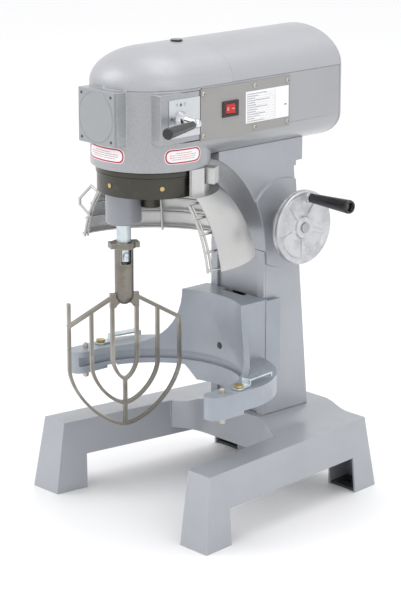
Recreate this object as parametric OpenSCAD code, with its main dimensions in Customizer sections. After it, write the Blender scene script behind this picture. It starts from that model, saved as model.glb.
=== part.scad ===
// Ten litre planetary bench mixer: welded base, column, gear head, motor, bowl lift and beater.
// +Z up, bowl side towards -Y, handwheel towards +X, origin on the floor under the middle.

/* [Base] */
// Width over the front feet
base_w = 360; // [350:1:370]
// Depth over the feet
base_d = 357; // [350:1:364]
// Height of the side rails
rail_h = 101; // [98:1:104]
// Rise of the bridge above the rails
bridge_rise = 10; // [8:1:12]
// Width of a rail's top at the front
rail_w = 42; // [38:1:46]
// Inward angle of the rails towards the rear
rail_splay = 6.8; // [6:0.1:7.5]
// How much the outer faces lean out at the floor
foot_flare = 9.5; // [7:0.5:11]
// Height of the arch between the feet
arch_h = 50; // [44:1:54]
// Sheet thickness of the base
base_wall = 3; // [2.5:0.1:3.5]

/* [Column] */
// Half width of the column
column_hw = 53; // [52:0.5:54]
// Wall thickness of the column
column_wall = 6; // [5:0.5:7]
// Bowl clearance radius cut in the column's front
sweep_r = 156.5; // [155:0.5:158]

/* [Head] */
// Radius of the round gear housing, also half the head's width
head_r = 79.4; // [78.5:0.1:80]
// Height of the gear housing's underside
head_z0 = 485; // [484:0.5:486]
// Height of the seam under the top covers
seam_z = 592; // [591:0.5:593]
// Rise of the top covers above the seam
cover_rise = 47; // [45:0.5:48]
// Wall thickness of the head castings
head_wall = 5; // [4.5:0.5:5.5]

/* [Planetary drive] */
// Y position of the planetary axis
axis_y = -96; // [-98:0.5:-94]
// Tooth size of the ring gear and its pinion
ring_m = 2; // [2:0.1:2]
// Teeth in the fixed ring gear
ring_teeth = 60; // [60:1:60]
// Teeth in the planet pinion
pinion_teeth = 24; // [24:1:24]
// Direction of the beater shaft from the planetary axis, degrees
hub_angle = 228; // [220:1:236]
// Direction of the flat beater, degrees
beater_angle = 66; // [50:1:80]

/* [Bowl lift] */
// Height of the arms' top at rest
arm_z = 198; // [196:1:200]
// Inner radius of the bowl yoke
yoke_r = 124; // [123:0.5:125]
// Spread of the bowl locating pins
pin_spread = 280; // [278:1:282]

/* [Handwheel] */
// Height of the handwheel axis
wheel_z = 381; // [379:1:383]
// Radius of the handwheel
wheel_r = 51; // [49:0.5:52]
// Distance of the crank grip from the wheel's axis
crank_r = 41; // [38:0.5:42]

/* [Hidden] */
$fn = 48;
eps = 0.01;
run = 0.05;
gap = 0.3;
silver = "#b4b9be";
steel = "#9a9a98";
zinc = "#b9c4c6";

base_y = 18.5;
front_y = base_y - base_d / 2;
rear_y = base_y + base_d / 2;
top_front_y = front_y + foot_flare * 1.5;
top_rear_y = rear_y - foot_flare * 1.5;
top_z = rail_h + bridge_rise;
front_out = base_w / 2 - foot_flare;
rear_out = front_out - (top_rear_y - top_front_y) * tan(rail_splay);
rear_w = rail_w + 2;
leg_front = 50;
leg_rear = 45;
bridge_front_y = axis_y + 146.5;
bridge_skirt = 50;
foot_bolt_r = 4.5;
front_bolt_x = 152;
front_bolt_y = front_y + 26;
rear_bolt_x = 111;
rear_bolt_y = rear_y - 24;

column_y = axis_y + sweep_r;
column_top = 470;
column_rear_y = axis_y + 243.5;
column_rear_top_y = axis_y + 213;
neck_rear_y = axis_y + 228.5;
neck_z = 463;
arc_z = 345;
neck_tip_y = axis_y + 73.5;
guide_w = 13;
guide_t = 4;
screw_y = axis_y + 191;
slot_hw = 14;
lean = atan((column_rear_y - column_rear_top_y) / (column_top - 14 - top_z));

head_rear_y = axis_y + 274.5;
cap_t = 3;
cover_split_y = axis_y + 74.2;
flat_z0 = 526;
belly = 41;
cover_t = 2.5;
panel_y0 = axis_y + 15.5;
panel_y1 = axis_y + 176;
panel_z0 = 521;
panel_z1 = 589;
panel_t = 1.5;
hub_front_y = axis_y - 92;
hub_half = 35.5;
hub_z = 555.5;
switch_y = axis_y + 67;
switch_z = 558;
boss_x = head_r + 0.6;
lever_y = axis_y - 18.5;
lever_z = 556;
knuckle = [boss_x + 15, lever_y + 14.9, lever_z - 6.4];
plate_t = 1;

motor_z = 572;
motor_r = 58;
motor_y0 = axis_y + 100;
motor_len = 112;
cross_z = 531.5;
cross_m = 1.5;
cross_teeth = 39;
motor_teeth = 15;
cross_gear_y = axis_y + 75;
gear_t = 12;
bevel_m = 1.8;
bevel_teeth = 40;
bevel_pinion_teeth = 20;
bevel_r = bevel_m * bevel_teeth / 2;
bevel_pinion_r = bevel_m * bevel_pinion_teeth / 2;
shaft_r = 7;
main_r = 12.5;
neck_r = 8.5;

ring_z0 = 449;
ring_r = 71;
ring_pitch = ring_m * ring_teeth / 2;
pinion_pitch = ring_m * pinion_teeth / 2;
offset_e = ring_pitch - pinion_pitch;
hub_x = offset_e * cos(hub_angle);
hub_y = axis_y + offset_e * sin(hub_angle);
hub_r = 24;
hub_z0 = 402;
beater_shaft_r = 9.75;

shield_c = [-16.7, 335.6];
shield_r = 157;
shield_t = 1.2;
guard_r = 151;
wire_r = 1.7;
shield_a0 = 9.6;
shield_a1 = 45;

yoke_w = 30;
arm_h = 31;
yoke_cx = 42;
yoke_cy = 38;
latch_toe_in = 8;
body_top = 279;
body_bottom = 150;
pin_x = pin_spread / 2;
latch_x = pin_x + 1;
latch_y = axis_y + 28;
latch_len = 63;

nut_z = 190;
nut_h = 24;
screw_r = 9;
screw_teeth = 20;
screw_m = 1.8;
mitre_r = screw_teeth * screw_m / 2;
wheel_x = 85;
wheel_w = 12;
wheel_shaft_r = 7;
crank_y = screw_y + 10;
crank_z = wheel_z + sqrt(crank_r * crank_r - 100);
grip_len = 72;
grip_x = wheel_x + wheel_w + 3;

// ---- shared shapes ----

// A shape and its mirror image across the YZ plane
module both() {
    children();
    mirror([1, 0, 0]) children();
}

// Moves to a point on the axis of turning and stands the shape's Z along +Y
module along_y(x, y, z) {
    translate([x, y, z]) rotate([-90, 0, 0]) children();
}

// Moves to a point and stands the shape's Z along +X
module along_x(x, y, z) {
    translate([x, y, z]) rotate([0, 90, 0]) children();
}

// Moves to p and stands the shape's Z towards q
module towards(p, q) {
    d = q - p;
    translate(p) rotate([0, acos(d[2] / norm(d)), atan2(d[1], d[0])]) children();
}

module box(x0, x1, y0, y1, z0, z1) {
    translate([x0, y0, z0]) cube([x1 - x0, y1 - y0, z1 - z0]);
}

// Points of an ellipse arc
function arc_points(rx, ry, a0, a1, n, c = [0, 0]) =
    [for (i = [0 : n]) let (a = a0 + (a1 - a0) * i / n) c + [rx * cos(a), ry * sin(a)]];

// Straight-sided gear: half tooth widths are shares of the pitch
module gear_outline(teeth, m, add = 0.8, ded = 1.1, root_w = 0.3, tip_w = 0.12) {
    r = teeth * m / 2;
    p = 360 / teeth;
    polygon([for (i = [0 : teeth - 1], k = [[-root_w, -ded], [-tip_w, add], [tip_w, add], [root_w, -ded]])
        (r + k[1] * m) * [cos((i + k[0]) * p), sin((i + k[0]) * p)]]);
}

module spur_gear(teeth, m, width, bore) {
    linear_extrude(width) difference() {
        gear_outline(teeth, m);
        circle(bore);
    }
}

// Bevel gear with its large end at z = 0 and its apex at z = cone
module bevel_gear_body(teeth, m, face, cone, bore) {
    difference() {
        linear_extrude(face, scale = (cone - face) / cone) gear_outline(teeth, m, 0.55, 1.1, 0.24, 0.08);
        translate([0, 0, -1]) cylinder(r = bore, h = face + 2);
    }
}

// Pan-head screw: head's underside at z = 0, shank below it
module pan_screw(head_r, head_h, shank_r, shank_l) {
    rotate_extrude() polygon(concat([[0, -shank_l], [shank_r, -shank_l], [shank_r, 0], [head_r, 0]],
        arc_points(head_r, head_h, 15, 90, 5)));
}

// Ball bearing seen as one ring
module bearing(outer, inner, width) {
    difference() {
        cylinder(r = outer, h = width);
        translate([0, 0, -1]) cylinder(r = inner, h = width + 2);
    }
}

// ---- base ----

module rail_plan(grow) {
    polygon([[front_out - rail_w, top_front_y - grow * 1.5], [front_out + grow, top_front_y - grow * 1.5],
        [rear_out + grow * 0.9, top_rear_y + grow * 1.5], [rear_out - rear_w, top_rear_y + grow * 1.5]]);
}

module rail_block(inset) {
    hull() {
        translate([0, 0, rail_h - inset - 0.1]) linear_extrude(0.1) offset(delta = -inset) rail_plan(0);
        translate([0, 0, inset > 0 ? -1 : 0])
            linear_extrude(0.1) offset(delta = -inset) rail_plan(foot_flare);
    }
}

// Height of the bridge's top across its width
function bridge_top(x) = let (t = max(0, min(1, (abs(x) - 55) / 40)))
    top_z - bridge_rise * t * t * (3 - 2 * t);

// Front edge of the bridge, swept forward into the rails
function bridge_edge(x) = let (t = max(0, min(1, (abs(x) - 55) / 50)))
    bridge_front_y - 18 * t * t;

module bridge_block(inset) {
    xs = [for (i = [-12 : 12]) i * 9.5];
    intersection() {
        translate([0, rear_y, 0]) rotate([90, 0, 0]) linear_extrude(base_d) polygon(concat(
            [for (i = [24, 0]) [xs[i], rail_h - bridge_skirt + bridge_rise - inset * 20]],
            [for (x = xs) [x, bridge_top(x) - inset]]));
        linear_extrude(top_z + 1) polygon(concat(
            [[xs[24], top_rear_y - inset], [xs[0], top_rear_y - inset]],
            [for (x = xs) [x, bridge_edge(x) + inset]]));
    }
}

module base_frame() {
    color(silver) difference() {
        union() {
            both() rail_block(0);
            bridge_block(0);
        }
        both() rail_block(base_wall);
        difference() {
            bridge_block(base_wall);
            both() rail_block(0);
        }
        both() box(60, base_w, front_y + leg_front, rear_y - leg_rear, -1, arch_h);
    }
}

module foot_plate(x, y, hx, hy) {
    translate([x, y, 0]) difference() {
        translate([-hx, -hy, 0]) cube([2 * hx, 2 * hy, 4]);
        translate([0, 0, -1]) cylinder(r = foot_bolt_r, h = 6);
    }
}

module foot_plates() {
    color(steel) both() intersection() {
        rail_block(base_wall);
        union() {
            foot_plate(front_bolt_x, front_bolt_y, 30, 20);
            foot_plate(rear_bolt_x, rear_bolt_y, 30, 18);
        }
    }
}

// ---- column ----

module head_outer() {
    translate([0, axis_y, head_z0]) cylinder(r = head_r, h = seam_z - head_z0, $fn = 96);
    along_head(axis_y, head_rear_y - cap_t) head_lower(0);
}

// Extrudes an outline drawn in X and Z along Y
module along_head(y0, y1) {
    translate([0, y1, 0]) rotate([90, 0, 0]) linear_extrude(y1 - y0) children();
}

module head_lower(inset) {
    r = head_r - inset;
    polygon(concat([[r, seam_z]], [[-r, seam_z]], arc_points(r, belly - inset, 180, 360, 36, [0, flat_z0])));
}

module column_side() {
    polygon(concat([[column_y, top_z], [column_rear_y, top_z], [column_rear_top_y, column_top - 14],
        [column_rear_top_y + 4, column_top - 14], [column_rear_top_y + 4, neck_z], [neck_rear_y, neck_z],
        [neck_rear_y, seam_z - 60], [neck_tip_y, seam_z - 60]],
        arc_points(sweep_r, sweep_r, acos((neck_tip_y - axis_y) / sweep_r), 0, 16, [axis_y, arc_z])));
}

module column_slab(x0, x1) {
    translate([x0, 0, 0]) rotate([90, 0, 90]) linear_extrude(x1 - x0) children();
}

module column() {
    color(silver) difference() {
        union() {
            difference() {
                column_slab(-column_hw, column_hw) column_side();
                column_slab(column_wall - column_hw, column_hw - column_wall) intersection() {
                    offset(delta = -column_wall) column_side();
                    translate([column_y, 0]) square([200, 455]);
                }
                box(column_wall - column_hw, column_hw - column_wall, column_y + column_wall + guide_t,
                    column_rear_y - column_wall - 4, top_z - 1, top_z + column_wall + 1);
            }
            intersection() {
                along_x(column_hw - 1, screw_y, wheel_z) cylinder(r = 62, h = 3.5, $fn = 96);
                column_slab(0, 200) column_side();
            }
            along_x(column_hw - 1, screw_y, wheel_z) cylinder(r = 20, h = 9);
        }
        head_outer();
        translate([0, axis_y, 400]) cylinder(r = 78, h = 86, $fn = 96);
        box(-60, 60, column_y - 1, column_y + guide_t, top_z - 1, arc_z);
        box(-slot_hw, slot_hw, column_y - 1, column_y + 20, 160, body_top - 2);
        along_x(column_hw - 20, screw_y, wheel_z) cylinder(r = 11, h = 40);
        back_frame() box(-36, 36, -20, 5, 60, 260);
    }
}

// Frame on the column's leaning rear face: origin at its foot, Y outwards
module back_frame() {
    translate([0, column_rear_y, top_z]) rotate([lean, 0, 0]) children();
}

module guide_ways() {
    color(silver) both() box(column_hw - guide_w, column_hw, column_y, column_y + guide_t, top_z, arc_z);
}

module back_cover_holes(r, y0, h) {
    for (x = [-38, 38], z = [52, 268]) translate([x, y0, z]) rotate([-90, 0, 0]) cylinder(r = r, h = h);
}

module back_cover() {
    color(silver) back_frame() difference() {
        box(-44, 44, 0, 2, 46, 274);
        back_cover_holes(2.1, -1, 4);
    }
}

// ---- head ----

module gear_housing() {
    r = head_r - head_wall;
    color(silver) difference() {
        union() {
            head_outer();
            box(-hub_half, hub_half, hub_front_y + 4, axis_y, hub_z - hub_half, hub_z + hub_half);
            box(40, boss_x, lever_y - 33, panel_y0, lever_z - 33, lever_z + 33);
        }
        translate([0, axis_y, head_z0 + 13]) cylinder(r = r, h = 200, $fn = 96);
        along_head(axis_y, head_rear_y) head_lower(head_wall);
        translate([0, axis_y, head_z0 - 1]) cylinder(r = main_r + 1, h = 30);
        translate([0, axis_y, head_z0 + 2]) cylinder(r = 21, h = 30);
        along_y(0, hub_front_y, hub_z) cylinder(r = 24, h = 60);
        along_x(40, lever_y, lever_z) cylinder(r = 6 + run, h = 60);
        box(head_r - head_wall - 1, head_r + 1, switch_y - 11, switch_y + 11, switch_z - 8, switch_z + 8);
    }
}

module hub_cover() {
    color(silver) difference() {
        union() {
            box(-hub_half, hub_half, hub_front_y, hub_front_y + 4, hub_z - hub_half, hub_z + hub_half);
            along_y(0, hub_front_y - 0.8, hub_z) cylinder(r = 33, h = 2, $fn = 72);
            along_y(0, hub_front_y + 3, hub_z) cylinder(r = 23.8, h = 9);
        }
        for (x = [-29, 29], z = [-29, 29]) along_y(x, hub_front_y - 1, hub_z + z) cylinder(r = 1.6, h = 6);
    }
}

module hub_cover_screws() {
    color("#505050") for (x = [-29, 29], z = [-29, 29])
        along_y(x, hub_front_y - 0.5, hub_z + z) cylinder(r = 1.6, h = 4.5);
}

// Half ellipse over the seam
module cover_outline(inset) {
    r = head_r - inset;
    polygon(arc_points(r, cover_rise - inset, 0, 180, 40, [0, seam_z]));
}

module half_cover_outline(inset) {
    r = head_r - inset;
    polygon(concat([[0, 0]], arc_points(r, cover_rise - inset, 0, 90, 20)));
}

module front_top_cover() {
    color(silver) difference() {
        union() {
            translate([0, axis_y, seam_z]) rotate_extrude($fn = 96) half_cover_outline(0);
            along_head(axis_y, cover_split_y) cover_outline(0);
        }
        difference() {
            union() {
                translate([0, axis_y, seam_z - eps]) rotate_extrude($fn = 96) half_cover_outline(cover_t);
                translate([0, 0, -eps]) along_head(axis_y, cover_split_y + 1) cover_outline(cover_t);
            }
            translate([0, axis_y + 46, seam_z]) cylinder(r = 12, h = 60);
        }
        translate([0, axis_y + 46, seam_z - 1]) cylinder(r = 6, h = 80);
        box(-90, 90, cover_split_y, cover_split_y + 10, seam_z - 1, seam_z + 60);
    }
}

module motor_cover() {
    color(silver) difference() {
        along_head(cover_split_y + 0.4, head_rear_y - cap_t) cover_outline(0);
        translate([0, 0, -eps]) along_head(cover_split_y - 1, head_rear_y) cover_outline(cover_t);
    }
}

module oil_plug() {
    color("#26272a") translate([0, axis_y + 46, seam_z + cover_rise]) {
        cylinder(r = 8, h = 2.5);
        translate([0, 0, -14]) cylinder(r = 6, h = 14.5);
    }
}

module rear_cap() {
    color(silver) difference() {
        along_head(head_rear_y - cap_t, head_rear_y) union() {
            cover_outline(0);
            head_lower(0);
        }
        for (i = [-4 : 4]) along_y(i * 10, head_rear_y - 10, motor_z - 20)
            linear_extrude(20) square([4, 56], center = true);
        for (x = [-62, 62], z = [-22, 42]) along_y(x, head_rear_y - 10, 550 + z) cylinder(r = 2.1, h = 20);
        along_y(40, head_rear_y - 10, 510) cylinder(r = 8, h = 20);
    }
}

module cover_screws() {
    color("#c8c8c8") {
        for (x = [-62, 62], z = [-22, 42]) along_y(x, head_rear_y, 550 + z) pan_screw(4.2, 2.6, 2, 3);
        back_frame() for (x = [-38, 38], z = [52, 268])
            translate([x, 2, z]) rotate([-90, 0, 0]) pan_screw(4.2, 2.6, 2, 2);
    }
}

module cable_gland() {
    color("#26272a") along_y(40, head_rear_y, 510) difference() {
        union() {
            cylinder(r = 11, h = 5, $fn = 6);
            translate([0, 0, 4]) cylinder(r = 9, h = 8);
            translate([0, 0, -12]) cylinder(r = 8, h = 13);
        }
        translate([0, 0, -13]) cylinder(r = 4, h = 30);
    }
}

module panel_points() {
    for (y = [panel_y0 + 5, panel_y0 + 96, panel_y1 - 5], z = [panel_z0 + 6.5, panel_z1 - 6.5])
        translate([head_r + panel_t, y, z]) rotate([0, 90, 0]) children();
}

module control_panel() {
    color("#a4a29e") difference() {
        box(head_r, head_r + panel_t, panel_y0, panel_y1, panel_z0, panel_z1);
        panel_points() translate([0, 0, -5]) cylinder(r = 2.1, h = 10);
        box(head_r - 1, head_r + 5, switch_y - 11, switch_y + 11, switch_z - 8, switch_z + 8);
    }
}

module panel_screws() {
    color("#c8c0b0") panel_points() pan_screw(3.6, 2.2, 2, panel_t);
}

module switch_bezel() {
    x = head_r + panel_t;
    color("#1d1d1f") difference() {
        union() {
            box(x, x + 2, switch_y - 14, switch_y + 14, switch_z - 10.5, switch_z + 10.5);
            box(x - 20, x + 1, switch_y - 10.8, switch_y + 10.8, switch_z - 7.8, switch_z + 7.8);
        }
        box(x - 8, x + 5, switch_y - 8.9, switch_y + 8.9, switch_z - 6.8, switch_z + 6.8);
        translate([x - 4, switch_y, switch_z - 7.4]) cylinder(r = 1.2 + run, h = 14.8);
    }
}

module switch_rocker() {
    x = head_r + panel_t;
    color("#d42a1c") translate([x - 4, switch_y, switch_z]) {
        translate([0, 0, -6.5]) linear_extrude(13) polygon([[-2, -4], [-2, 4],
            [4.2, 7.6], [6.8, 7.4], [5.2, 0], [5, -7.6], [2.4, -7.8]]);
        translate([0, 0, -7.3]) cylinder(r = 1.2, h = 14.6);
    }
}

module speed_plate() {
    color("#c3c9cd") difference() {
        box(boss_x, boss_x + plate_t, lever_y - 20, panel_y0 - 1, lever_z - 25, lever_z + 25);
        along_x(boss_x - 1, lever_y, lever_z) cylinder(r = 6.5, h = 5);
    }
}

module speed_lever() {
    color("#d4d6d8") {
        along_x(head_r - head_wall - 10, lever_y, lever_z) cylinder(r = 6, h = 22);
        along_x(boss_x + plate_t + gap, lever_y, lever_z) cylinder(r1 = 10, r2 = 7.5, h = 7);
        along_x(head_r - head_wall - 12, lever_y, lever_z) cylinder(r = 12, h = 3.9);
        along_x(head_r - head_wall - 22, lever_y + 8, lever_z) cylinder(r = 3, h = 11);
        towards([boss_x + 4, lever_y, lever_z], knuckle) cylinder(r1 = 4.8, r2 = 4.3, h = 19);
        translate(knuckle) sphere(r = 6.2);
        lever_end() cylinder(r = 3, h = 68);
    }
}

// Frame at the lever's knuckle with Z along the grip
module lever_end() {
    towards(knuckle, knuckle + [26, -73.5, 0]) translate([0, 0, 5]) children();
}

module speed_grip() {
    color("#17181a") lever_end() difference() {
        union() {
            translate([0, 0, 6]) cylinder(r1 = 5.2, r2 = 7.5, h = 66);
            translate([0, 0, 72]) cylinder(r1 = 7.5, r2 = 6.5, h = 1.5);
        }
        cylinder(r = 3, h = 68);
    }
}

// Straight-sided, round-nosed prism of the head's width, grown by t and run back by y1
module head_skin(t, y1) {
    translate([0, 0, -y1]) cylinder(r = head_r + t, h = 600 + 2 * y1, $fn = 96);
    box(-head_r - t, head_r + t, 0, y1, -y1, 600 + y1);
}

module sticker(a, len) {
    translate([0, axis_y, 0]) intersection() {
        difference() {
            head_skin(0.3, 38);
            head_skin(0, 40);
        }
        rotate([0, 0, a]) translate([0, 0, 506]) rotate([0, 90, 0]) linear_extrude(100)
            offset(r = 8) square([4, len - 16], center = true);
    }
}

module labels() {
    color("#e8e6e4") {
        box(head_r + panel_t, head_r + panel_t + 0.3, axis_y + 95, axis_y + 173, 534, 576);
        sticker(-92, 70);
        sticker(-8, 54);
    }
}

// ---- motor and gear train ----

module motor_stator() {
    color("#3f4a55") along_y(0, motor_y0, motor_z) difference() {
        union() {
            cylinder(r = motor_r, h = motor_len, $fn = 96);
            for (i = [0 : 11]) rotate([0, 0, i * 30])
                translate([motor_r - 1, -1.5, 14]) cube([3, 3, motor_len - 28]);
        }
        translate([0, 0, 8]) cylinder(r = 32.6, h = motor_len - 16);
        translate([0, 0, -1]) cylinder(r = 13, h = motor_len + 2);
    }
}

module motor_cradle() {
    color(silver) difference() {
        intersection() {
            box(-36, 36, motor_y0 + 20, motor_y0 + 90, head_z0, 530);
            along_head(motor_y0, head_rear_y) head_lower(head_wall);
        }
        along_y(0, motor_y0, motor_z) cylinder(r = motor_r + 2, h = motor_len, $fn = 96);
    }
}

module motor_rotor() {
    color(steel) along_y(0, motor_y0, motor_z) {
        translate([0, 0, -27]) cylinder(r = shaft_r - run, h = motor_len + 44);
        translate([0, 0, 12]) cylinder(r = 32, h = motor_len - 24);
    }
}

module cooling_fan() {
    color("#5c6268") along_y(0, motor_y0 + motor_len + 4, motor_z) difference() {
        union() {
            cylinder(r = 44, h = 2);
            cylinder(r = 12, h = 12);
            for (i = [0 : 8]) rotate([0, 0, i * 40]) translate([8, -1, 0]) cube([34, 2, 12]);
        }
        translate([0, 0, -1]) cylinder(r = shaft_r - run, h = 14);
    }
}

module motor_pinion() {
    color(steel) along_y(0, cross_gear_y, motor_z)
        rotate([0, 0, 90 + 180 / motor_teeth]) spur_gear(motor_teeth, cross_m, gear_t, shaft_r - run);
}

module gear_plate() {
    color(silver) difference() {
        intersection() {
            along_head(motor_y0 - 8, motor_y0) head_lower(head_wall);
            box(-90, 90, motor_y0 - 9, motor_y0 + 1, 400, seam_z - 1);
        }
        along_y(0, motor_y0 - 9, cross_z) cylinder(r = 15, h = 10);
        along_y(0, motor_y0 - 9, motor_z) cylinder(r = 10, h = 10);
    }
}

module bearing_pedestal() {
    color(silver) difference() {
        box(-22, 22, axis_y + 42, axis_y + 52, head_z0 + 13, 556);
        along_y(0, axis_y + 41, cross_z) cylinder(r = 15, h = 12);
    }
}

module cross_shaft() {
    color(steel) along_y(0, axis_y + 24, cross_z) cylinder(r = shaft_r - run, h = 74);
}

module cross_gear() {
    color(steel) along_y(0, cross_gear_y, cross_z)
        rotate([0, 0, -90]) spur_gear(cross_teeth, cross_m, gear_t, shaft_r - run);
}

module bevel_pinion() {
    color(steel) translate([0, axis_y + bevel_r, cross_z])
        rotate([90, 0, 0]) rotate([0, 0, 90 + 180 / bevel_pinion_teeth])
        bevel_gear_body(bevel_pinion_teeth, bevel_m, 12, bevel_r, shaft_r - run);
}

module bevel_gear() {
    color(steel) {
        translate([0, axis_y, cross_z - bevel_pinion_r]) rotate([0, 0, 90])
            bevel_gear_body(bevel_teeth, bevel_m, 6, bevel_pinion_r, main_r);
        translate([0, axis_y, cross_z - bevel_pinion_r - 12]) bearing(20, main_r, 12);
    }
}

module drive_bearings() {
    color(steel) {
        translate([0, axis_y, head_z0 + 2]) bearing(21, main_r + run, 11);
        along_y(0, axis_y + 42, cross_z) bearing(15, shaft_r, 10);
        along_y(0, motor_y0 - 8, cross_z) bearing(15, shaft_r, 8);
        along_y(0, motor_y0, motor_z) bearing(13, shaft_r, 8);
        along_y(0, motor_y0 + motor_len - 8, motor_z) bearing(13, shaft_r, 8);
    }
}

module main_shaft() {
    color("#5a5b58") translate([0, axis_y, 0]) {
        translate([0, 0, 424.5]) cylinder(r = 12.5, h = 25);
        translate([0, 0, 449]) cylinder(r = neck_r, h = 32);
        translate([0, 0, 480.5]) cylinder(r = main_r, h = cross_z - bevel_pinion_r - 480.5 + 6);
    }
}

module ring_gear() {
    color("#5f5d52") translate([0, axis_y, 0]) difference() {
        union() {
            translate([0, 0, ring_z0]) cylinder(r = ring_r, h = head_z0 - ring_z0, $fn = 120);
            translate([0, 0, 474]) cylinder(r = ring_r + 1.2, h = 2.5, $fn = 120);
        }
        translate([0, 0, ring_z0 - 1]) cylinder(r = 66, h = 10);
        translate([0, 0, 480]) cylinder(r = 40, h = 10);
        translate([0, 0, 457]) rotate([0, 0, hub_angle]) linear_extrude(24)
            gear_outline(ring_teeth, ring_m, 1.1, 0.8, 0.38, 0.2);
    }
}

module ring_screws() {
    color("#b9a77a") for (i = [0 : 5]) translate([0, axis_y, 463]) rotate([0, 0, -29 + i * 60])
        translate([ring_r, 0, 0]) rotate([0, 90, 0]) cylinder(r = 3, h = 1);
}

module planet_hub() {
    color("#aeb3ba") difference() {
        union() {
            translate([0, axis_y, ring_z0 + 0.5]) cylinder(r = 65.6, h = 7.5, $fn = 96);
            translate([hub_x, hub_y, hub_z0]) {
                translate([0, 0, 4]) cylinder(r = hub_r, h = 46);
                cylinder(r = hub_r - 4, h = 6);
                translate([0, 0, 4]) rotate_extrude() translate([hub_r - 4, 0]) circle(4);
            }
        }
        translate([0, axis_y, 424]) cylinder(r = 12.5, h = 25.5);
        translate([0, axis_y, 440]) cylinder(r = neck_r, h = 30);
        translate([hub_x, hub_y, 390]) cylinder(r = beater_shaft_r + run, h = 80);
    }
}

// Frame on the beater shaft: Z up, X along the flat beater
module beater_frame() {
    translate([hub_x, hub_y, 0]) rotate([0, 0, beater_angle]) children();
}

module beater_shaft() {
    color(zinc) beater_frame() {
        translate([0, 0, 350]) cylinder(r = beater_shaft_r, h = 128);
        translate([0, -12.2, 360]) rotate([-90, 0, 0]) cylinder(r = 3, h = 24.4);
    }
}

module planet_pinion() {
    color(steel) translate([hub_x, hub_y, 459]) rotate([0, 0, hub_angle])
        spur_gear(pinion_teeth, ring_m, 19, beater_shaft_r);
}

// ---- guard ----

module splash_shield() {
    z1 = shield_c[1] + shield_r * sin(shield_a1 + 1.7);
    color("#b8b9b6") translate([0, axis_y, 0]) {
        rotate_extrude(angle = 180, $fn = 96) polygon(concat(
            arc_points(shield_r, shield_r, shield_a0, shield_a1 + 1.7, 14, shield_c),
            [[76, z1], [76, z1 - shield_t]],
            arc_points(shield_r - shield_t, shield_r - shield_t, shield_a1 + 2, shield_a0, 14, shield_c)));
        rotate_extrude(angle = 180, $fn = 96)
            translate([76, z1 - shield_t]) square([1.2, head_z0 - z1 + shield_t]);
        both() translate([76, 2, z1 - shield_t]) cube([3, 22, head_z0 - z1 + shield_t]);
    }
}

// Straight round rod between two points in the XZ plane
module rod(p, q, r) {
    d = q - p;
    translate([p[0], 0, p[1]]) rotate([0, atan2(d[0], d[1]), 0]) cylinder(r = r, h = norm(d));
    translate([q[0], 0, q[1]]) sphere(r * 1.15);
}

module guard_rib(a, spread = 0) {
    rotate([0, 0, a + spread]) translate([shield_c[0], 0, shield_c[1]]) rotate([90, 0, 0])
        rotate([0, 0, shield_a0]) rotate_extrude(angle = shield_a1 - shield_a0 + 1, $fn = 96)
            translate([guard_r - 2, 0]) circle(wire_r);
}

module wire_guard() {
    color("#a9a8a2") translate([0, axis_y, 0]) {
        for (a = [11, 20, 29, 37.5, 45.5]) rotate([0, 0, -7.8]) rotate_extrude(angle = 191.6, $fn = 96)
            translate(shield_c + guard_r * [cos(a), sin(a)]) circle(wire_r);
        for (a = [-7, -4.4, 42, 87, 132, 180.6, 183]) guard_rib(a);
    }
}

// Ring that runs round the gear ring, its hangers and the bent handle
module guard_carrier() {
    handle = [[104, 428], [116, 433], [139, 412], [139, 404], [119, 391]];
    color("#a9a8a2") translate([0, axis_y, 0]) {
        translate([0, 0, 477]) difference() {
            cylinder(r = ring_r + 1.6, h = 6, $fn = 120);
            translate([0, 0, -1]) cylinder(r = ring_r + run, h = 8, $fn = 120);
        }
        difference() {
            union() {
                rotate([0, 0, 183]) for (i = [0 : 3]) rod(handle[i], handle[i + 1], 2);
                for (a = [30, 90, 150]) rotate([0, 0, a]) {
                    translate([ring_r + 1.4, -4, 442.5]) cube([1.8, 8, 40]);
                    translate([ring_r + 1.4, -4, 442.5]) cube([14.9, 8, 2]);
                }
            }
            wire_cuts();
        }
    }
}

// Room for the guard's wires where the carrier meets them
module wire_cuts() {
    for (a = [37.5, 45.5]) rotate([0, 0, -7.8]) rotate_extrude(angle = 191.6, $fn = 96)
        translate(shield_c + guard_r * [cos(a), sin(a)]) circle(wire_r);
    guard_rib(183);
}

module guard_switch() {
    color("#2a2b2d") translate([0, axis_y, 0]) rotate([0, 0, 28]) box(77.2, 92, -9, 9, 462, 484);
}

// ---- beater ----

// Straight bar of width w between two points
module bar(p, q, w) {
    t = [p[1] - q[1], q[0] - p[0]] / norm(q - p) * w / 2;
    polygon([p + t, q + t, q - t, p - t]);
}

// Solid outline of one blade loop: straight sides from the top, then round to the middle
module blade_outline(w, top, z1, z0) {
    half = [for (i = [0 : 16])
        [w * pow(cos(i * 90 / 16), 1.25), z1 - (z1 - z0) * pow(sin(i * 90 / 16), 1.25)]];
    polygon(concat([[w, top]], half, [for (i = [15 : -1 : 0]) [-half[i][0], half[i][1]]], [[-w, top]]));
}

module blade_loop(w, top, z1, z0, t) {
    difference() {
        blade_outline(w + t / 2, top, z1, z0 - t / 2);
        blade_outline(w - t / 2, top + 1, z1, z0 + t / 2);
    }
}

module beater_blades() {
    blade_loop(77, 266.2, 204, 122, 4.4);
    blade_loop(46, 285, 206, 152, 4.6);
    blade_loop(17, 301, 215, 186, 5);
    bar([14, 302], [79, 264.5], 5);
    bar([-14, 302], [-79, 264.5], 5);
    translate([-79.2, 262]) square([4.4, 35]);
    translate([-2.5, 121]) square([5, 66]);
    difference() {
        translate([-20, 286]) square([40, 20]);
        translate([0, 280]) circle(14);
    }
}

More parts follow.
